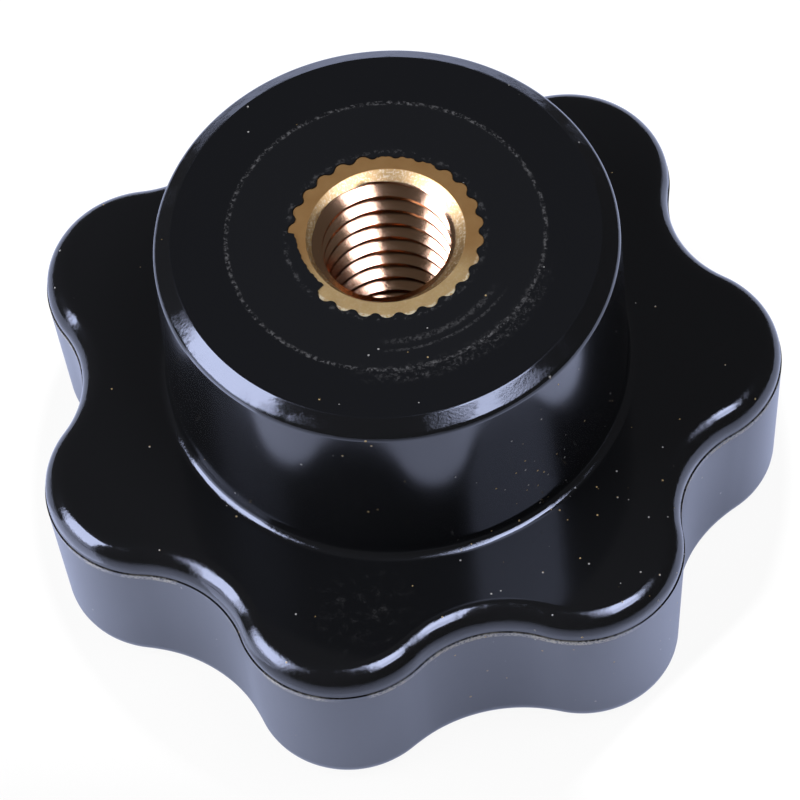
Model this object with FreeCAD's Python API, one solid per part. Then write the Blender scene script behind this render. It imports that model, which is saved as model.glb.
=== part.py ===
import FreeCAD, Part
import math
import os

# Star knob: a phenolic moulding with a brass bush moulded into its hub. Millimetres, hub up,
# origin on the axis at the flat grip face, one lobe pointing along +X.

# The star's outline
lobe_count = 7
tip_radius = 20.0
lobe_round = 5.5
valley_depth = 3.35
valley_radius = tip_radius - valley_depth

# The star's heights and edges, counted from the grip face
star_height = 10.65
parting_drop = 1.5
parting_height = star_height - parting_drop
lobe_draft = 0.62
valley_draft = 0.33
parting_step = 0.05
star_edge_round = 1.15
grip_edge_round = 1.35

# The hub, drafted towards its free end, with a bevel round its turned face
hub_height = 22.2
shelf_width = 4.62
hub_foot_radius = valley_radius - shelf_width
hub_draft_inset = 0.07
hub_top_radius = hub_foot_radius - hub_draft_inset
hub_bevel_width = 0.91
hub_bevel_angle = 34.0
hub_edge_round = 0.45
hub_fillet = 0.5

# The bush: a straight knurl in two bands, with a groove between them that the moulding grips
bush_length = 16.0
bush_recess = 0.05
knurl_count = 26
knurl_tip_radius = 5.05
knurl_valley_radius = 4.77
knurl_tip_round = 0.45
groove_radius = 4.4
groove_width = 2.5
band_length = 7.5
bush_chamfer = 0.8

# The bush's blind tapping hole for an M8 thread of 1.25 pitch, with a countersunk mouth
thread_diameter = 8.0
thread_pitch = 1.25
thread_depth_ratio = 1.0825
minor_radius = (thread_diameter - thread_depth_ratio * thread_pitch) / 2
mouth_radius = 4.3
hole_depth = 13.0
drill_point_angle = 118.0

# Heights that follow from the sizes above
bush_top = hub_height - bush_recess
bush_foot = bush_top - bush_length
countersink_depth = mouth_radius - minor_radius

# Degrees in half a turn, how far cutting shapes run past the tips they cut, and how near to its
# size an edge is sought
half_turn = 180.0
knurl_overrun = 0.5
search_margin = 1.0


def vec(radius, angle, height):
    """A point given by its distance from the axis, its angle and its height."""
    return FreeCAD.Vector(radius * math.cos(angle), radius * math.sin(angle), height)


def lobed_outline(count, tip, valley, tip_round, inset, height):
    """A closed outline of lobe arcs and valley arcs that meet without a kink.

    tip and valley are distances from the axis, and tip_round is a lobe's own radius. The
    valley arc's radius follows from the meeting. inset moves the whole outline inward.
    """
    half = math.pi / count
    lobe_centre = tip - tip_round
    reach = lobe_centre * math.cos(half)
    valley_round = (
        (tip_round ** 2 - lobe_centre ** 2 - valley ** 2 + 2 * valley * reach)
        / (2 * (valley - reach - tip_round))
    )
    valley_centre = valley + valley_round
    apart_x = valley_centre * math.cos(half) - lobe_centre
    apart_y = valley_centre * math.sin(half)
    lean = math.atan2(apart_y, apart_x)
    meet_x = lobe_centre + (tip_round - inset) * math.cos(lean)
    meet_y = (tip_round - inset) * math.sin(lean)
    meet_radius = math.hypot(meet_x, meet_y)
    meet_angle = math.atan2(meet_y, meet_x)
    edges = []
    for k in range(count):
        middle = 2 * half * k
        start = vec(meet_radius, middle - meet_angle, height)
        end = vec(meet_radius, middle + meet_angle, height)
        after = vec(meet_radius, middle + 2 * half - meet_angle, height)
        top = vec(tip - inset, middle, height)
        bottom = vec(valley - inset, middle + half, height)
        edges.append(Part.Arc(start, top, end).toShape())
        edges.append(Part.Arc(end, bottom, after).toShape())
    return Part.Wire(edges)


def star_outline(inset, height):
    """The star's outline at one height."""
    return lobed_outline(lobe_count, tip_radius, valley_radius, lobe_round, inset, height)


def turned(points):
    """A solid turned about the axis from (radius, height) corners."""
    corners = [FreeCAD.Vector(r, 0, z) for r, z in points]
    face = Part.Face(Part.makePolygon(corners + corners[:1]))
    return face.revolve(FreeCAD.Vector(0, 0, 0), FreeCAD.Vector(0, 0, 1), 360)


def edges_at(shape, height, least_radius, most_radius):
    """The edges that lie at one height, with every sample between two distances from the axis."""
    found = []
    for edge in shape.Edges:
        samples = edge.discretize(5)
        level = all(abs(p.z - height) < 1e-4 for p in samples)
        inside = all(least_radius < math.hypot(p.x, p.y) < most_radius for p in samples)
        if level and inside:
            found.append(edge)
    return found


def grip_face_outline():
    """The outline at the grip face, where the draft is larger at the lobes than in the valleys."""
    return lobed_outline(
        lobe_count, tip_radius - lobe_draft, valley_radius - valley_draft,
        lobe_round - lobe_draft, 0, 0
    )


def star():
    """The grip: drafted below the mould's parting line, straight above it, both edges rounded."""
    below = Part.makeLoft([grip_face_outline(), star_outline(0, parting_height)], True, True)
    above = Part.Face(star_outline(parting_step, parting_height)).extrude(
        FreeCAD.Vector(0, 0, star_height - parting_height)
    )
    grip = below.fuse(above)
    least = valley_radius - 2 * search_margin
    most = tip_radius + search_margin
    grip = grip.makeFillet(star_edge_round, edges_at(grip, star_height, least, most))
    return grip.makeFillet(grip_edge_round, edges_at(grip, 0, least, most))


def hub():
    """The hub's drum, starting inside the star, with a bevel that is rounded into its wall."""
    foot = star_height / 2
    shoulder = hub_height - hub_bevel_width * math.tan(math.radians(hub_bevel_angle))
    slope = hub_draft_inset / (shoulder - star_height)
    drum = turned([
        (0, foot),
        (hub_foot_radius + slope * (star_height - foot), foot),
        (hub_top_radius, shoulder),
        (hub_top_radius - hub_bevel_width, hub_height),
        (0, hub_height),
    ])
    rim = edges_at(drum, shoulder, hub_top_radius - search_margin, hub_foot_radius)
    return drum.makeFillet(hub_edge_round, rim)


def bush_blank(top):
    """The bush's outside up to one height: two knurled bands, a groove, a chamfered foot.

    The knurl stands half a tooth round, with a valley between teeth on +X.
    """
    knurl = Part.Face(lobed_outline(
        knurl_count, knurl_tip_radius, knurl_valley_radius, knurl_tip_round, 0, bush_foot
    )).extrude(FreeCAD.Vector(0, 0, top - bush_foot))
    knurl.rotate(FreeCAD.Vector(0, 0, 0), FreeCAD.Vector(0, 0, 1), half_turn / knurl_count)
    over = knurl_tip_radius + knurl_overrun
    groove_top = bush_top - band_length
    groove_foot = groove_top - groove_width
    envelope = turned([
        (0, bush_foot),
        (over - bush_chamfer - knurl_overrun, bush_foot),
        (over, bush_foot + bush_chamfer + knurl_overrun),
        (over, groove_foot),
        (groove_radius, groove_foot),
        (groove_radius, groove_top),
        (over, groove_top),
        (over, top),
        (0, top),
    ])
    return knurl.common(envelope)


def bush_hole():
    """The tapping hole: countersunk mouth, straight wall and drill point."""
    point_depth = minor_radius / math.tan(math.radians(drill_point_angle / 2))
    return turned([
        (0, bush_top),
        (mouth_radius, bush_top),
        (minor_radius, bush_top - countersink_depth),
        (minor_radius, bush_top - hole_depth),
        (0, bush_top - hole_depth - point_depth),
    ])


def knob_body():
    """The whole moulding, with the pocket that the bush fills."""
    body = star().fuse(hub())
    foot_edge = edges_at(
        body, star_height, hub_foot_radius - search_margin, hub_foot_radius + search_margin
    )
    body = body.makeFillet(hub_fillet, foot_edge)
    return body.cut(bush_blank(hub_height))


def threaded_insert():
    """The brass bush."""
    return bush_blank(bush_top).cut(bush_hole())


def main():
    os.makedirs("parts", exist_ok=True)
    for name, make in (("knob_body", knob_body), ("threaded_insert", threaded_insert)):
        shape = make()
        solid = shape.Solids[0] if len(shape.Solids) == 1 else shape
        solid.exportStep("parts/" + name + ".step")
        box = solid.BoundBox
        print(name, len(shape.Solids), solid.isValid(), round(solid.Volume, 2), len(solid.Faces))
        print(round(box.XMin, 3), round(box.XMax, 3), round(box.YMin, 3), round(box.YMax, 3))
        print(round(box.ZMin, 3), round(box.ZMax, 3))


main()
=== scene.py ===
import math

import bmesh
import bpy
from mathutils import Matrix, Vector


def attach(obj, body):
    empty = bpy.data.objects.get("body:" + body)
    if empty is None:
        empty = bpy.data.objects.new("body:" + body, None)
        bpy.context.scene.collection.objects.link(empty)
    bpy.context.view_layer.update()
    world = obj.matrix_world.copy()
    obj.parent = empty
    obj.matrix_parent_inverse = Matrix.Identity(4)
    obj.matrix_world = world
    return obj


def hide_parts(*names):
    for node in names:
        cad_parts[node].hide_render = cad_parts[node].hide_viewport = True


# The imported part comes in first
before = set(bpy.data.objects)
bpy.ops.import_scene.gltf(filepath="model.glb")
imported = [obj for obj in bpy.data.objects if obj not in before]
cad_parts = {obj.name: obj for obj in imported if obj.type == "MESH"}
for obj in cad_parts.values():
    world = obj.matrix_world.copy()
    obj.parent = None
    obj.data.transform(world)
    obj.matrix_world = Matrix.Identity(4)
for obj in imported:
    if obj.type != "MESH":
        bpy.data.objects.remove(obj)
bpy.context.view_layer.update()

MM = 0.001

# The star's outline and its heights from the grip face, in millimetres
LOBES = 7
TIP_R = 20.0
LOBE_ROUND = 5.5
VALLEY_R = 16.65
STAR_Z = 10.65
PARTING_Z = 9.15
LOBE_DRAFT = 0.62
VALLEY_DRAFT = 0.33
MEAN_DRAFT = 0.47
PARTING_STEP = 0.05
STAR_EDGE = 1.15
GRIP_EDGE = 1.35

# The hub
HUB_Z = 22.2
HUB_FOOT_R = 12.03
HUB_TOP_R = 11.96
HUB_BEVEL = 0.91
HUB_BEVEL_ANGLE = 34.0
HUB_EDGE = 0.45
HUB_FILLET = 0.5
HUB_FACE_RINGS = (8.6, 7.0, 5.6)

# How far a profile runs on over a flat before the next piece of it takes over
FLAT_WIDTH = 3.0

# The bush and its thread
BUSH_TOP = 22.15
BUSH_FOOT = 6.15
TEETH = 26
TOOTH_TIP_R = 5.05
TOOTH_VALLEY_R = 4.77
TOOTH_ROUND = 0.45
GROOVE_R = 4.4
GROOVE_TOP = 14.65
GROOVE_FOOT = 12.15
BUSH_CHAMFER = 0.8
BUSH_FIT = 0.01
FACE_EDGE = 0.03
FACE_RIM_R = 4.5
MOUTH_R = 4.1
CONE_DEPTH = 0.5
THREAD_R = 4.0
MINOR_R = 3.3234
PITCH = 1.25
THREAD_CREST = 0.2
THREAD_SHIFT = 0.416
THREAD_FOOT = 9.9
HOLE_FOOT = 9.15
HALF_DRILL_POINT = 59

# How far the moulding's skins and its pocket lie above the bush's face
SKIN_LIFT = 0.005
POCKET_LIFT = 0.004

# Marks on the hub's face, each a ring: distance from the axis, half width and softness
WASHER_RING = (8.17, 0.04, 0.12)
SMEAR_RING = (8.45, 0.2, 0.5)
# The turning tool's marks, painted as pale lines: a painted highlight
TOOL_ARC_GLINT_OUTER = (7.05, 0.03, 0.08)
TOOL_ARC_GLINT_INNER = (6.5, 0.05, 0.2)
LIP_RING = (5.12, 0.03, 0.2)

# Sides on which marks lie, as seen from the axis in degrees: middle, half width and softness
SMEAR_SIDE = (-58, 22, 28)
TOOL_ARC_GLINT_SIDE = (-62, 18, 16)
FRONT_SIDE = (-88, 50, 30)

# Level bands on the outside, in millimetres: middle height, half width and softness
SEAM_BAND = (PARTING_Z, 0.015, 0.03)
CHIP_BAND = (PARTING_Z - 0.17, 0.09, 0.14)
STAR_RIM_BAND = (STAR_Z - 0.3, 0.75, 0.1)
HUB_RIM_BAND = (HUB_Z - 0.35, 0.3, 0.04)

# Where dust has gathered and where the lobe in front is scuffed
DUST_SPOT = (10, -12, 11)
SCUFF_SPOT = (-2, -15.3, 10.6)

# Turn from the measured camera, in which the lens looks along +Y, to the knob's own axes
TURN = 3.9

# The camera, as measured from the photograph's outline: degrees, millimetres and pixels
ELEVATION = 57.338
ROLL = -5.746
CAMERA_AWAY = 412.514
AIM_HEIGHT = 10
AIM_LEFT = 0.117
AIM_DOWN = 1.863
FOCAL_PIXELS = 7895.8
PICTURE_PIXELS = 800
SENSOR = 36.0

# The studio: its paper, the lamps' distance and the cool white of its light in reflections
PAPER_R = 300
PAPER_DROP = 0.02
# Middle of the painted pool of light on the paper
PAINTED_POOL_SPOT = (20, -21, 0)
LAMP_AIM_HEIGHT = 15
MIRRORED_AWAY = 0.6
LIGHTING_AWAY = 0.62
COOL = (0.86, 0.96, 1.37, 1)
PURE_WHITE = (1, 1, 1, 1)

# Points round every ring: a multiple of both the lobes and the teeth
AROUND = 728


def lobed_radius(angle, count, tip, valley, tip_round, inset=0.0):
    """Distance from the axis to an outline of tangent lobe arcs and valley arcs."""
    half = math.pi / count
    a = tip - tip_round
    reach = a * math.cos(half)
    rv = (tip_round ** 2 - a ** 2 - valley ** 2 + 2 * valley * reach) / (
        2 * (valley - reach - tip_round)
    )
    b = valley + rv
    lean = math.atan2(b * math.sin(half), b * math.cos(half) - a)
    tip_round -= inset
    rv += inset
    meet = math.atan2(tip_round * math.sin(lean), a + tip_round * math.cos(lean))
    t = abs((angle + half) % (2 * half) - half)
    if t < meet:
        return a * math.cos(t) + math.sqrt(tip_round ** 2 - (a * math.sin(t)) ** 2)
    t = half - t
    return b * math.cos(t) - math.sqrt(max(rv ** 2 - (b * math.sin(t)) ** 2, 0.0))


def star_radius(angle, inset):
    return lobed_radius(angle, LOBES, TIP_R, VALLEY_R, LOBE_ROUND, inset)


def drafted_radius(angle, inset, height):
    """The star below its parting line, where the lobes are drafted more than the valleys.

    inset is counted from the parting line's outline with a mean draft, as in the profile.
    """
    low = 1 - height / PARTING_Z
    extra = inset - MEAN_DRAFT * low
    at_face = lobed_radius(
        angle, LOBES, TIP_R - LOBE_DRAFT, VALLEY_R - VALLEY_DRAFT, LOBE_ROUND - LOBE_DRAFT, extra
    )
    return low * at_face + (1 - low) * star_radius(angle, extra)


def knurl_radius(angle, inset=0.0):
    angle += math.pi / TEETH
    return lobed_radius(angle, TEETH, TOOTH_TIP_R, TOOTH_VALLEY_R, TOOTH_ROUND, inset)


def rounded(corners, steps=9, guard=0.03):
    """A profile through (x, z, radius) corners, with each corner turned into an arc.

    A guard point on each side of an arc keeps the shading of the flats beside it true.
    """
    points = []
    for k, (x, z, radius) in enumerate(corners):
        here = Vector((x, z))
        if radius == 0 or k in (0, len(corners) - 1):
            points.append(here)
            continue
        back = (Vector(corners[k - 1][:2]) - here).normalized()
        ahead = (Vector(corners[k + 1][:2]) - here).normalized()
        half = back.angle(ahead) / 2
        centre = here + (back + ahead).normalized() * radius / math.sin(half)
        start = here + back * radius / math.tan(half) - centre
        end = here + ahead * radius / math.tan(half) - centre
        sweep = start.angle_signed(end)
        points.append(centre + start + back * guard)
        for i in range(steps + 1):
            turn = Matrix.Rotation(-sweep * i / steps, 2)
            points.append(centre + turn @ start)
        points.append(centre + end + ahead * guard)
    return points


def ring_of(bm, edges):
    return list({v for e in edges for v in e.verts})


def next_ring(bm, edges, radius_at, height):
    """Extrudes an open ring of edges and sets the new ring's radius and height by angle."""
    made = bmesh.ops.extrude_edge_only(bm, edges=edges)["geom"]
    verts = [g for g in made if isinstance(g, bmesh.types.BMVert)]
    for v in verts:
        angle = math.atan2(v.co.y, v.co.x)
        r = radius_at(angle) * MM
        v.co = Vector((r * math.cos(angle), r * math.sin(angle), height * MM))
    inside = set(verts)
    return [
        g for g in made
        if isinstance(g, bmesh.types.BMEdge) and g.verts[0] in inside and g.verts[1] in inside
    ]


def sharpen(bm, degrees):
    """Smooth faces, with the edges that turn more than an angle kept sharp."""
    limit = math.radians(degrees)
    for f in bm.faces:
        f.smooth = True
    for e in bm.edges:
        e.smooth = len(e.link_faces) == 2 and e.calc_face_angle(0) < limit


def finish_mesh(bm, name, material):
    bmesh.ops.remove_doubles(bm, verts=bm.verts, dist=1e-8)
    bmesh.ops.recalc_face_normals(bm, faces=bm.faces)
    mesh = bpy.data.meshes.new(name)
    bm.to_mesh(mesh)
    bm.free()
    obj = bpy.data.objects.new(name, mesh)
    bpy.context.scene.collection.objects.link(obj)
    obj.data.materials.append(material)
    return obj


# Where thin skins of moulding cover the bush's face: (from, to, inner radius at each end)
SKINS = (
    (math.radians(176), math.radians(222.5), 4.72, 4.31),
    (math.radians(56), math.radians(94), 4.88, 4.84),
)


def skin_radius(angle):
    """The inner edge of the moulding at the hub's face: the knurl, or a skin over it."""
    edge = knurl_radius(angle)
    angle %= 2 * math.pi
    for start, stop, r_start, r_stop in SKINS:
        if start < angle < stop:
            k = (angle - start) / (stop - start)
            ragged = 0.02 * math.sin(37 * angle) + 0.015 * math.sin(83 * angle + 1)
            edge = min(edge, r_start + (r_stop - r_start) * math.sqrt(k) + ragged)
    return edge


def make_body(material):
    """The moulding: one ring of edges carried up the star, over the hub and down the pocket."""
    bm = bmesh.new()
    bmesh.ops.create_circle(bm, cap_ends=True, segments=AROUND, radius=10 * MM)
    edges = [e for e in bm.edges if len(e.link_faces) == 1]
    below = rounded([
        (MEAN_DRAFT + GRIP_EDGE + 0.2, 0, 0), (MEAN_DRAFT, 0, GRIP_EDGE), (0, PARTING_Z, 0),
    ])
    above = rounded([
        (PARTING_STEP, PARTING_Z, 0), (PARTING_STEP, STAR_Z, STAR_EDGE), (FLAT_WIDTH, STAR_Z, 0),
    ])
    for v in ring_of(bm, edges):
        angle = math.atan2(v.co.y, v.co.x)
        r = drafted_radius(angle, below[0].x, 0) * MM
        v.co = Vector((r * math.cos(angle), r * math.sin(angle), 0))
    for point in below[1:]:
        edges = next_ring(bm, edges, lambda t, p=point: drafted_radius(t, p.x, p.y), point.y)
    for point in above[:-1]:
        edges = next_ring(bm, edges, lambda t, p=point: star_radius(t, p.x), point.y)
    hub_profile = rounded([
        (HUB_FOOT_R + FLAT_WIDTH, STAR_Z, 0),
        (HUB_FOOT_R, STAR_Z, HUB_FILLET),
        (HUB_TOP_R, HUB_Z - HUB_BEVEL * math.tan(math.radians(HUB_BEVEL_ANGLE)), HUB_EDGE),
        (HUB_TOP_R - HUB_BEVEL, HUB_Z, 0),
    ])[1:]
    for point in hub_profile:
        edges = next_ring(bm, edges, lambda t, p=point: p.x, point.y)
    for r in HUB_FACE_RINGS:
        edges = next_ring(bm, edges, lambda t, r=r: r, HUB_Z)
    edges = next_ring(bm, edges, skin_radius, HUB_Z)
    edges = next_ring(bm, edges, skin_radius, BUSH_TOP + SKIN_LIFT)
    pocket = (
        (knurl_radius, BUSH_TOP + POCKET_LIFT),
        (knurl_radius, GROOVE_TOP),
        (lambda t: GROOVE_R, GROOVE_TOP),
        (lambda t: GROOVE_R, GROOVE_FOOT),
        (knurl_radius, GROOVE_FOOT),
        (knurl_radius, BUSH_FOOT + BUSH_CHAMFER),
        (lambda t: knurl_radius(t) - BUSH_CHAMFER, BUSH_FOOT),
    )
    for radius_at, height in pocket:
        edges = next_ring(bm, edges, radius_at, height)
    bmesh.ops.edgeloop_fill(bm, edges=edges)
    sharpen(bm, 22)
    return finish_mesh(bm, "moulded_star", material)


def make_bush(material):
    """The bush: the knurled outside, the faced end, and a mouth that opens into the thread."""
    bm = bmesh.new()
    bmesh.ops.create_circle(bm, cap_ends=True, segments=AROUND // 2, radius=4 * MM)
    edges = [e for e in bm.edges if len(e.link_faces) == 1]
    for v in ring_of(bm, edges):
        angle = math.atan2(v.co.y, v.co.x)
        r = (knurl_radius(angle) - BUSH_CHAMFER - BUSH_FIT) * MM
        v.co = Vector((r * math.cos(angle), r * math.sin(angle), (BUSH_FOOT + BUSH_FIT) * MM))
    outside = (
        (lambda t: knurl_radius(t, BUSH_FIT), BUSH_FOOT + BUSH_CHAMFER),
        (lambda t: knurl_radius(t, BUSH_FIT), GROOVE_FOOT - BUSH_FIT),
        (lambda t: GROOVE_R - BUSH_FIT, GROOVE_FOOT - BUSH_FIT),
        (lambda t: GROOVE_R - BUSH_FIT, GROOVE_TOP + BUSH_FIT),
        (lambda t: knurl_radius(t, BUSH_FIT), GROOVE_TOP + BUSH_FIT),
        (lambda t: knurl_radius(t, BUSH_FIT), BUSH_TOP - FACE_EDGE),
        (lambda t: knurl_radius(t, BUSH_FIT + FACE_EDGE), BUSH_TOP),
        (lambda t: FACE_RIM_R, BUSH_TOP),
    )
    for radius_at, height in outside:
        edges = next_ring(bm, edges, radius_at, height)
    rim = edges
    helix = make_thread(bm)
    bmesh.ops.triangle_fill(bm, edges=rim + helix["mouth"], use_beauty=True, normal=(0, 0, 1))
    foot = helix["foot"]
    foot = next_ring(bm, foot, lambda t: MINOR_R, THREAD_FOOT)
    foot = next_ring(bm, foot, lambda t: MINOR_R, HOLE_FOOT)
    point = HOLE_FOOT - MINOR_R / math.tan(math.radians(HALF_DRILL_POINT))
    foot = next_ring(bm, foot, lambda t: 0.05, point)
    bmesh.ops.edgeloop_fill(bm, edges=foot)
    sharpen(bm, 24)
    return finish_mesh(bm, "tapped_bush", material)


def make_thread(bm):
    """The M8 thread: its profile spun once round the axis while it rises by one pitch."""
    depth = THREAD_R - MINOR_R
    flank = depth * math.tan(math.radians(30))
    crest = THREAD_CREST
    steps = 5
    profile = []
    start = THREAD_FOOT - 2 * PITCH + THREAD_SHIFT
    turns = int((BUSH_TOP - start) / PITCH) + 3
    for k in range(turns):
        z = start + k * PITCH
        for i in range(3):
            profile.append((MINOR_R, z + crest * i / 3))
        for i in range(steps):
            profile.append((MINOR_R + depth * i / steps, z + crest + flank * i / steps))
        root = PITCH - crest - 2 * flank
        for i in range(2):
            profile.append((THREAD_R, z + crest + flank + root * i / 2))
        for i in range(steps):
            profile.append((
                THREAD_R - depth * i / steps, z + PITCH - flank + flank * i / steps,
            ))
    verts = [bm.verts.new((r * MM, 0, z * MM)) for r, z in profile]
    edges = [bm.edges.new(pair) for pair in zip(verts, verts[1:])]
    count = AROUND // 4
    old = set(bm.verts) - set(verts)
    bmesh.ops.spin(
        bm, geom=verts + edges, cent=(0, 0, 0), axis=(0, 0, 1), angle=2 * math.pi,
        steps=count, dvec=(0, 0, PITCH * MM / count), use_merge=False,
    )
    made = [v for v in bm.verts if v not in old]
    bmesh.ops.remove_doubles(bm, verts=made, dist=1e-6)
    made = [v for v in bm.verts if v not in old]
    for v in made:
        r = math.hypot(v.co.x, v.co.y)
        cone = (MOUTH_R * MM) - (BUSH_TOP * MM - v.co.z) * (MOUTH_R - MINOR_R) / CONE_DEPTH
        if cone > r:
            v.co.x *= cone / r
            v.co.y *= cone / r
    for height, side in ((BUSH_TOP, 1), (THREAD_FOOT, -1)):
        made = set(v for v in bm.verts if v not in old)
        faces = [f for f in bm.faces if f.verts[0] in made]
        es = list({e for f in faces for e in f.edges})
        vs = list({v for f in faces for v in f.verts})
        bmesh.ops.bisect_plane(
            bm, geom=faces + es + vs, dist=1e-7, plane_co=(0, 0, height * MM),
            plane_no=(0, 0, side), clear_outer=True,
        )
    made = set(v for v in bm.verts if v not in old)
    loose = [e for e in bm.edges if e.verts[0] in made and len(e.link_faces) == 1]
    middle = (BUSH_TOP + THREAD_FOOT) / 2 * MM
    return {
        "mouth": [e for e in loose if e.verts[0].co.z > middle],
        "foot": [e for e in loose if e.verts[0].co.z < middle],
    }


def linear(code):
    """A hex sRGB colour as linear values."""
    out = []
    for i in (0, 2, 4):
        c = int(code[i:i + 2], 16) / 255
        out.append(c / 12.92 if c <= 0.04045 else ((c + 0.055) / 1.055) ** 2.4)
    return (*out, 1.0)


def put(tree, kind, settings=None, **inputs):
    """Adds a node. Inputs are given by name, with _ for a space or as i0, i1 by place."""
    node = tree.nodes.new(kind)
    for key, value in (settings or {}).items():
        setattr(node, key, value)
    for key, value in inputs.items():
        place = int(key[1:]) if key[0] == "i" and key[1:].isdigit() else key.replace("_", " ")
        socket = node.inputs[place]
        if isinstance(value, bpy.types.NodeSocket):
            tree.links.new(value, socket)
        else:
            socket.default_value = value
    return node


def calc(tree, operation, a, b=0.0, c=0.0):
    """One step of arithmetic, as a socket."""
    return put(tree, "ShaderNodeMath", {"operation": operation}, i0=a, i1=b, i2=c).outputs[0]


def step_up(tree, value, low, high):
    """Rises smoothly from 0 at low to 1 at high."""
    node = put(
        tree, "ShaderNodeMapRange", {"interpolation_type": "SMOOTHSTEP"},
        Value=value, From_Min=low, From_Max=high,
    )
    return node.outputs[0]


def step_down(tree, value, low, high):
    """Falls smoothly from 1 at low to 0 at high."""
    return calc(tree, "SUBTRACT", 1.0, step_up(tree, value, low, high))


def band(tree, value, middle, half, soft):
    """1 within half of the middle, falling to 0 over soft."""
    away = calc(tree, "ABSOLUTE", calc(tree, "SUBTRACT", value, middle))
    return step_down(tree, away, half, half + soft)


def band_mm(tree, value, measures):
    """A band of a length, with its middle, half width and softness in millimetres."""
    return band(tree, value, *[m * MM for m in measures])


def side(tree, angle, measures):
    """A band of directions, with its middle, half width and softness in degrees."""
    return band(tree, angle, *[math.radians(m) for m in measures])


def distance(tree, spot, point):
    """The distance from a point that is given in millimetres."""
    node = put(
        tree, "ShaderNodeVectorMath", {"operation": "DISTANCE"}, i0=spot,
        i1=tuple(c * MM for c in point),
    )
    return node.outputs["Value"]


def blend(tree, factor, a, b):
    """Mixes two colours."""
    node = put(tree, "ShaderNodeMix", {"data_type": "RGBA"}, i0=factor, i6=a, i7=b)
    return node.outputs[2]


def new_material(name):
    material = bpy.data.materials.new(name)
    material.use_nodes = True
    tree = material.node_tree
    tree.nodes.clear()
    return material, tree


def place(tree):
    """Object coordinates with the distance from the axis, the angle and the height."""
    spot = put(tree, "ShaderNodeTexCoord").outputs["Object"]
    parts = put(tree, "ShaderNodeSeparateXYZ", Vector=spot).outputs
    squares = calc(
        tree, "ADD", calc(tree, "POWER", parts[0], 2.0), calc(tree, "POWER", parts[1], 2.0),
    )
    radius = calc(tree, "SQRT", squares)
    angle = calc(tree, "ARCTAN2", parts[1], parts[0])
    return spot, radius, angle, parts[2]


def noise(tree, vector, size_mm, detail=2.0, rough=0.5):
    node = put(
        tree, "ShaderNodeTexNoise", Vector=vector, Scale=1 / (size_mm * MM),
        Detail=detail, Roughness=rough,
    )
    return node.outputs["Fac"]


def specks(tree, vector, spacing_mm, size, share, seed_shift):
    """Sparse dots: one in each kept cell of a cell pattern."""
    moved = put(tree, "ShaderNodeVectorMath", i0=vector, i1=(seed_shift, seed_shift, 0))
    cells = put(tree, "ShaderNodeTexVoronoi", Vector=moved.outputs[0], Scale=1 / (spacing_mm * MM))
    near = step_down(tree, cells.outputs["Distance"], size * 0.6, size)
    pick = put(tree, "ShaderNodeSeparateXYZ", Vector=cells.outputs["Color"]).outputs[0]
    kept = calc(tree, "LESS_THAN", pick, share)
    return calc(tree, "MULTIPLY", near, kept)


def many(tree, *values):
    """The product of several values."""
    out = values[0]
    for v in values[1:]:
        out = calc(tree, "MULTIPLY", out, v)
    return out


def greatest(tree, *values):
    """The greatest of several values."""
    out = values[0]
    for v in values[1:]:
        out = calc(tree, "MAXIMUM", out, v)
    return out


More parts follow.
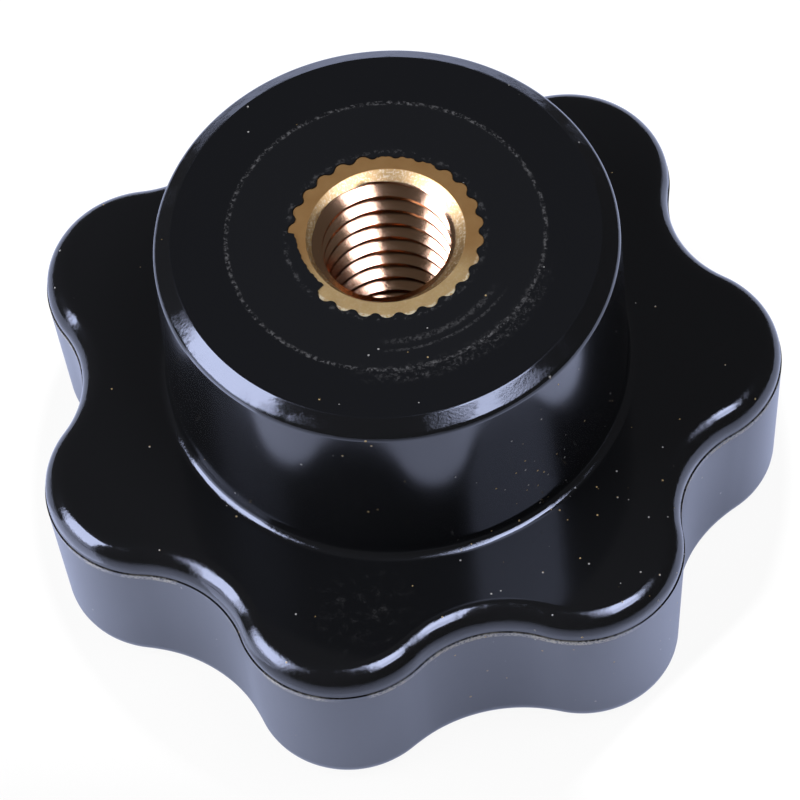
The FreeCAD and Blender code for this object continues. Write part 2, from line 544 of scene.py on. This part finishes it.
def black_phenolic():
    """Black phenolic moulding: glossy from the mould, turned on the hub's face, satin below
    the parting line. Its refractive index is about 1.65."""
    material, tree = new_material("black_phenolic")
    spot, radius, angle, height = place(tree)
    on_hub = step_up(tree, height, (HUB_Z - 0.02) * MM, (HUB_Z - 0.005) * MM)
    in_ring = step_down(tree, radius, 8.1 * MM, 8.2 * MM)
    below = step_down(tree, height, (PARTING_Z - 0.05) * MM, (PARTING_Z + 0.05) * MM)
    on_wall = many(
        tree, step_up(tree, height, (STAR_Z + 0.5) * MM, (STAR_Z + 1.0) * MM),
        step_up(tree, radius, (HUB_TOP_R - 0.05) * MM, (HUB_TOP_R - 0.02) * MM),
    )
    # Below the parting line the wall is grey and cool: partly its satin finish, partly a painted
    # reflection of the white paper
    colour = blend(tree, below, linear("17181b"), linear("4c505b"))
    colour = blend(tree, on_hub, colour, linear("0d0e10"))
    colour = blend(tree, many(tree, on_hub, in_ring), colour, linear("141517"))
    colour = blend(tree, hub_marks(tree, spot, radius, angle, on_hub), colour, linear("86868a"))
    # A dark seam with chipped flash under it along the parting line
    colour = blend(tree, band_mm(tree, height, SEAM_BAND), colour, linear("0a0a0b"))
    chips = many(
        tree, band_mm(tree, height, CHIP_BAND),
        step_up(tree, noise(tree, spot, 2.6, 2.0), 0.34, 0.6),
        step_up(tree, noise(tree, spot, 0.14, 4.0, 0.7), 0.42, 0.52),
    )
    colour = blend(tree, many(tree, chips, 0.9), colour, linear("c4c1ba"))
    # Dust: grey and brass grains, most of them in front of the hub on the right
    heap = step_down(tree, distance(tree, spot, DUST_SPOT), 3 * MM, 12 * MM)
    share = calc(tree, "MULTIPLY_ADD", heap, 0.45, 0.05)
    dust = greatest(
        tree, specks(tree, spot, 0.5, 0.13, share, 0.0), specks(tree, spot, 1.9, 0.045, 0.4, 0.37),
    )
    brassy = step_up(tree, noise(tree, spot, 0.7, 1.0), 0.48, 0.52)
    grains = blend(tree, brassy, linear("c8c6c4"), linear("d8b878"))
    colour = blend(tree, many(tree, dust, 0.85), colour, grains)
    # Scuffs on the lobe in front
    scuff = many(
        tree, step_down(tree, distance(tree, spot, SCUFF_SPOT), 1.0 * MM, 3.6 * MM),
        step_up(tree, noise(tree, spot, 0.5, 5.0, 0.75), 0.52, 0.8),
    )
    colour = blend(tree, many(tree, scuff, 0.16), colour, linear("86868a"))
    rough = greatest(
        tree, calc(tree, "MULTIPLY_ADD", noise(tree, spot, 3.0, 2.0), 0.05, 0.08),
        many(tree, on_wall, 0.15), many(tree, on_hub, 0.27), many(tree, below, 0.3),
        many(tree, greatest(tree, dust, chips), 0.7),
    )
    peel = noise(tree, spot, 1.6, 2.0)
    bump = put(tree, "ShaderNodeBump", Strength=0.12, Distance=0.02 * MM, Height=peel)
    bump = put(
        tree, "ShaderNodeBump", Strength=0.5, Distance=0.022 * MM,
        Height=rim_scratches(tree, spot, height), Normal=bump.outputs[0],
    )
    shader = put(
        tree, "ShaderNodeBsdfPrincipled", Base_Color=colour, Roughness=rough, IOR=1.65,
        Normal=bump.outputs[0],
    )
    put(tree, "ShaderNodeOutputMaterial", Surface=shader.outputs[0])
    return material


def hub_marks(tree, spot, radius, angle, on_hub):
    """Marks on the hub's face: the ring that a clamped washer has worn with its dust, the turning
    tool's marks painted as pale lines where they catch the light (a painted highlight), and pale
    smears of moulding round the bush's teeth."""
    worn = noise(tree, spot, 0.22, 4.0, 0.7)
    washer = many(tree, on_hub, band_mm(tree, radius, WASHER_RING), step_up(tree, worn, 0.45, 0.7))
    smear = many(
        tree, on_hub, side(tree, angle, SMEAR_SIDE), band_mm(tree, radius, SMEAR_RING),
        step_up(tree, noise(tree, spot, 0.3, 5.0, 0.75), 0.48, 0.75),
    )
    # Painted highlight along the turning marks, on one side of the face only
    both_arc_glints = greatest(
        tree, band_mm(tree, radius, TOOL_ARC_GLINT_OUTER), band_mm(tree, radius, TOOL_ARC_GLINT_INNER),
    )
    arc_glints = many(
        tree, on_hub, side(tree, angle, TOOL_ARC_GLINT_SIDE), both_arc_glints, step_up(tree, worn, 0.4, 0.7),
    )
    lips = many(
        tree, on_hub, band_mm(tree, radius, LIP_RING),
        step_up(tree, noise(tree, spot, 0.35, 5.0, 0.7), 0.5, 0.75),
    )
    return greatest(
        tree, many(tree, washer, 0.75), many(tree, smear, 0.5), many(tree, arc_glints, 0.35),
        many(tree, lips, 0.4),
    )


def rim_scratches(tree, spot, height):
    """The height of fine scratches where the rounded edges and the fillet have been rubbed."""
    rims = greatest(
        tree, band_mm(tree, height, STAR_RIM_BAND), band_mm(tree, height, HUB_RIM_BAND),
    )
    from_face = calc(tree, "ABSOLUTE", calc(tree, "SUBTRACT", height, STAR_Z * MM))
    off_face = step_up(tree, from_face, 0.01 * MM, 0.04 * MM)
    patches = step_up(tree, noise(tree, spot, 1.6, 3.0), 0.4, 0.62)
    return many(tree, rims, off_face, patches, noise(tree, spot, 0.14, 4.0, 0.7))


def machined_brass():
    """Yellow brass: faced and countersunk with a satin tool finish, bright in the thread."""
    material, tree = new_material("machined_brass")
    spot, radius, angle, height = place(tree)
    in_hole = step_down(tree, radius, (MOUTH_R - 0.04) * MM, MOUTH_R * MM)
    under = step_down(tree, height, (BUSH_TOP - 0.42) * MM, (BUSH_TOP - 0.3) * MM)
    inside = many(tree, in_hole, under)
    on_cone = calc(tree, "SUBTRACT", in_hole, inside)
    on_face = calc(tree, "SUBTRACT", 1.0, in_hole)
    blotch = noise(tree, spot, 0.9, 3.0)
    colour = blend(tree, blotch, linear("b98548"), linear("d0a160"))
    colour = blend(tree, on_cone, colour, linear("dcb070"))
    colour = blend(tree, inside, colour, linear("e6b488"))
    # The front of the face is lighter. The burrs that facing has left on its teeth are painted
    # near white on the front only: partly real burrs, partly painted highlight
    in_front = side(tree, angle, FRONT_SIDE)
    lighter_front = many(tree, in_front, on_face, calc(tree, "MULTIPLY_ADD", blotch, 0.5, 0.5))
    colour = blend(tree, lighter_front, colour, linear("f2cc84"))
    burr_glints = many(
        tree, in_front, step_up(tree, radius, 4.78 * MM, 4.9 * MM),
        step_up(tree, height, (BUSH_TOP - 0.1) * MM, BUSH_TOP * MM),
        step_up(tree, noise(tree, spot, 0.22, 3.0, 0.7), 0.42, 0.54),
    )
    # Pale flakes on the cone and the front: partly real tool marks, partly painted glints
    flake_glints = many(
        tree, greatest(tree, on_cone, many(tree, lighter_front, 0.3)),
        step_up(tree, noise(tree, spot, 0.12, 3.0, 0.7), 0.5, 0.6),
    )
    # Painted glints of the burrs and flakes, near white and less metallic
    bright = greatest(tree, burr_glints, many(tree, flake_glints, 0.6))
    colour = blend(tree, bright, colour, linear("fbe9c2"))
    rough = calc(tree, "SUBTRACT", 0.5, many(tree, in_hole, 0.12))
    rough = calc(tree, "SUBTRACT", rough, many(tree, inside, 0.24))
    metallic = calc(tree, "SUBTRACT", 1.0, many(tree, bright, 0.7))
    bump = put(
        tree, "ShaderNodeBump", Strength=calc(tree, "MULTIPLY_ADD", on_cone, 0.8, 0.2),
        Distance=0.012 * MM, Height=noise(tree, spot, 0.13, 4.0, 0.7),
    )
    shader = put(
        tree, "ShaderNodeBsdfPrincipled", Base_Color=colour, Roughness=rough, Metallic=metallic,
        Normal=bump.outputs[0],
    )
    put(tree, "ShaderNodeOutputMaterial", Surface=shader.outputs[0])
    return material


def white_paper():
    """The white paper that the knob lies on: white to the lens. In reflections it is cool, with
    painted light and shade: dimmer towards the front, a painted shadow close to the knob, and a
    painted pool of light on the right in front."""
    material, tree = new_material("white_paper")
    rays = put(tree, "ShaderNodeLightPath").outputs
    mirrored = greatest(tree, rays["Is Glossy Ray"], rays["Is Transmission Ray"])
    seen = greatest(tree, rays["Is Camera Ray"], mirrored)
    matt = put(tree, "ShaderNodeBsdfDiffuse", Color=linear("f6f6f6"))
    tint = blend(tree, mirrored, PURE_WHITE, COOL)
    spot = put(tree, "ShaderNodeTexCoord").outputs["Object"]
    depth = put(tree, "ShaderNodeSeparateXYZ", Vector=spot).outputs[1]
    away = distance(tree, spot, (0, 0, 0))
    # Painted light: the paper is dimmer towards the front in reflections
    level = calc(tree, "MULTIPLY_ADD", step_up(tree, depth, -90 * MM, 5 * MM), 0.8, 0.34)
    # Painted shadow of the knob on the paper close to it
    painted_shadow = calc(tree, "MULTIPLY_ADD", step_up(tree, away, 17 * MM, 22 * MM), 0.3, 0.7)
    level = many(tree, level, painted_shadow)
    # A painted pool of light on the paper on the right in front
    painted_pool = step_down(tree, distance(tree, spot, PAINTED_POOL_SPOT), 2 * MM, 13 * MM)
    level = calc(tree, "MULTIPLY_ADD", painted_pool, 0.5, level)
    level = greatest(tree, level, rays["Is Camera Ray"])
    glow = put(tree, "ShaderNodeEmission", Color=tint, Strength=level)
    mixed = put(
        tree, "ShaderNodeMixShader", i0=many(tree, seen, 0.93), i1=matt.outputs[0],
        i2=glow.outputs[0],
    )
    put(tree, "ShaderNodeOutputMaterial", Surface=mixed.outputs[0])
    return material


def softbox_cloth(name, colour, strength, again):
    """A lamp's cloth. Its light is weaker by the factor again after two reflections."""
    material, tree = new_material(name)
    rays = put(tree, "ShaderNodeLightPath").outputs
    twice = calc(tree, "GREATER_THAN", rays["Ray Depth"], 1.5)
    level = calc(tree, "MULTIPLY_ADD", twice, strength * (again - 1), strength)
    glow = put(tree, "ShaderNodeEmission", Color=colour, Strength=level)
    put(tree, "ShaderNodeOutputMaterial", Surface=glow.outputs[0])
    return material


def direction(azimuth, elevation):
    a = math.radians(azimuth)
    e = math.radians(elevation)
    return Vector((math.cos(e) * math.cos(a), math.cos(e) * math.sin(a), math.sin(e)))


def panel(name, points, colour, strength, lights, again=1.0):
    """A lit panel that the lens doesn't see: one that lights matt surfaces, or one that is
    only mirrored in glossy ones."""
    bm = bmesh.new()
    bm.faces.new([bm.verts.new(point) for point in points])
    sheet = finish_mesh(bm, name, softbox_cloth(name + "_cloth", colour, strength, again))
    sheet.visible_camera = False
    sheet.visible_shadow = False
    sheet.visible_diffuse = lights
    sheet.visible_glossy = not lights


def softbox(name, corners, mirrored, lighting, again=1.0):
    """A lit panel, given by the directions in which its corners are seen from the knob.

    One copy is seen in reflections only, the other gives its light at a plain level.
    """
    aim = Vector((0, 0, LAMP_AIM_HEIGHT * MM))
    rays = [direction(azimuth + TURN, elevation) for azimuth, elevation in corners]
    middle = sum(rays, Vector()).normalized()
    if mirrored:
        points = [aim + ray * MIRRORED_AWAY / ray.dot(middle) for ray in rays]
        panel(name + "_mirrored", points, COOL, mirrored, False, again)
    if lighting:
        points = [aim + ray * LIGHTING_AWAY / ray.dot(middle) for ray in rays]
        panel(name + "_lighting", points, PURE_WHITE, lighting, True)


def on_paper(radius, azimuth, height=0.3):
    """A point just above the paper, by its distance from the axis and its direction."""
    a = math.radians(azimuth + TURN)
    return Vector((radius * math.cos(a), radius * math.sin(a), height)) * MM


body = make_body(black_phenolic())
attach(body, "root")
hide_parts("knob_body")

bush = make_bush(machined_brass())
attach(bush, "root")
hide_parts("threaded_insert")

# The paper under the knob
bm = bmesh.new()
bmesh.ops.create_circle(bm, cap_ends=True, segments=128, radius=PAPER_R * MM)
bmesh.ops.translate(bm, verts=bm.verts, vec=(0, 0, -PAPER_DROP * MM))
paper = finish_mesh(bm, "paper", white_paper())

# The lamps: the corners' directions, the level in reflections, the level as light, and how much
# of it is left after two reflections
softbox("softbox_left", (
    (176, 14), (209, 14), (209, 54), (190, 55.5), (166, 54), (162, 42),
), 9.5, 5, 0.25)
softbox("softbox_right", (
    (299, 60), (350, 60), (362, 66), (370, 76), (340, 83), (310, 81), (300, 70),
), 10.5, 7, 0.4)
softbox("softbox_right_low", ((298, 46), (331, 46), (342, 55), (298, 55)), 8, 0, 0.45)
softbox("softbox_right_seam", ((298, 55), (345, 55), (352, 60), (299, 60)), 8.5, 0, 0.35)
softbox("softbox_left_edge", ((177, -5), (212, -5), (211, 14), (177, 14)), 2.2, 0)

# The left lamp's bright pool on the paper, as it is mirrored in the star's wall
pool = [on_paper(r, a) for r, a in ((26, 180), (130, 180), (130, 213), (26, 213))]
panel("lamp_pool", pool, COOL, 2.2, False)

# The world: white behind the knob, a dim studio in its reflections
world = bpy.data.worlds.new("studio")
bpy.context.scene.world = world
world.use_nodes = True
tree = world.node_tree
tree.nodes.clear()
rays = put(tree, "ShaderNodeLightPath").outputs
dim = put(tree, "ShaderNodeBackground", Color=(0.25, 0.25, 0.27, 1), Strength=0.27)
bright = put(tree, "ShaderNodeBackground", Color=PURE_WHITE, Strength=1.0)
mixed = put(
    tree, "ShaderNodeMixShader", i0=rays["Is Camera Ray"], i1=dim.outputs[0],
    i2=bright.outputs[0],
)
put(tree, "ShaderNodeOutputWorld", Surface=mixed.outputs[0])

# The camera
elevation = math.radians(ELEVATION)
roll = math.radians(ROLL)
turn = Matrix.Rotation(math.radians(TURN), 3, "Z")
back = turn @ Vector((0, -math.cos(elevation), math.sin(elevation)))
right = turn @ Vector((1, 0, 0))
up = back.cross(right)
spot = Vector((0, 0, AIM_HEIGHT)) + back * CAMERA_AWAY - right * AIM_LEFT - up * AIM_DOWN
lens_right = right * math.cos(roll) + up * math.sin(roll)
lens_up = up * math.cos(roll) - right * math.sin(roll)
camera_data = bpy.data.cameras.new("camera")
camera_data.sensor_width = SENSOR
camera_data.lens = FOCAL_PIXELS / PICTURE_PIXELS * SENSOR
camera_data.clip_start = 0.01
camera = bpy.data.objects.new("camera", camera_data)
bpy.context.scene.collection.objects.link(camera)
axes = Matrix((lens_right, lens_up, back)).transposed().to_4x4()
camera.matrix_world = Matrix.Translation(spot * MM) @ axes
bpy.context.scene.camera = camera

bpy.context.scene.view_settings.view_transform = "Standard"
